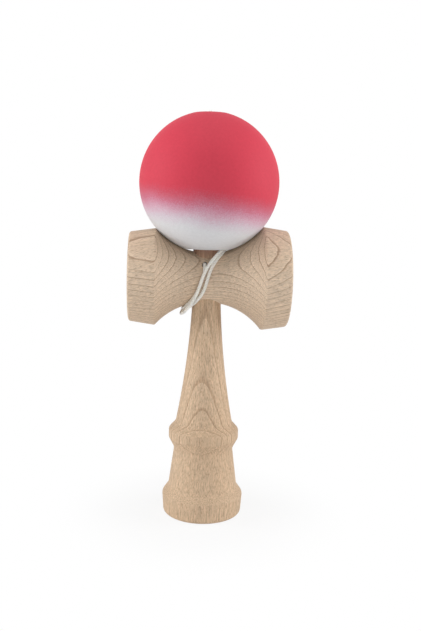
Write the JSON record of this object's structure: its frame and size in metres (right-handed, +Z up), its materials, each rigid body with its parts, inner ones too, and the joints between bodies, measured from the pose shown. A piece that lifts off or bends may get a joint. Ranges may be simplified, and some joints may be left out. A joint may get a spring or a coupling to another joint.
{
  "type": "kendama",
  "caption": "Turned wooden kendama: handle with spike and base cup, crosspiece with a big and a small cup, and a bored two-tone ball seated on the spike, tied by a wound string with a bead.",
  "frame": {"origin": "on the ken's axis, at the surface that the base stands on", "axes": "+Z up along the ken to the spike, +X along the sarado towards the big cup, -Y towards the viewer, where the string leaves the sarado"},
  "size_m": [0.0692, 0.0622, 0.1792],
  "materials": {
    "beech": "bare, sanded",
    "ball_paint": "matte soft-touch paint, red above and fading to white below",
    "string": "twisted cord",
    "bead_wood": "bare"
  },
  "bodies": {
    "ken": {"ken": "beech", "sarado": "beech", "ken_knot": "string", "string_winding": "string", "string_riser": "string"},
    "string_end": {"string_over_ball": "string", "bead": "bead_wood", "bead_knot": "string"},
    "tama": {"tama": "ball_paint"}
  },
  "joints": [
    {"name": "tama_lift", "type": "slide", "parent": "ken", "child": "string_end", "axis": [0, 0, 1], "range_m": [0, 0.05], "deforming": ["string_riser"]},
    {"name": "tama_spin", "type": "hinge", "parent": "string_end", "child": "tama", "pos_m": [0, 0, 0.14815], "axis": [0, 0, 1], "continuous": true}
  ]
}
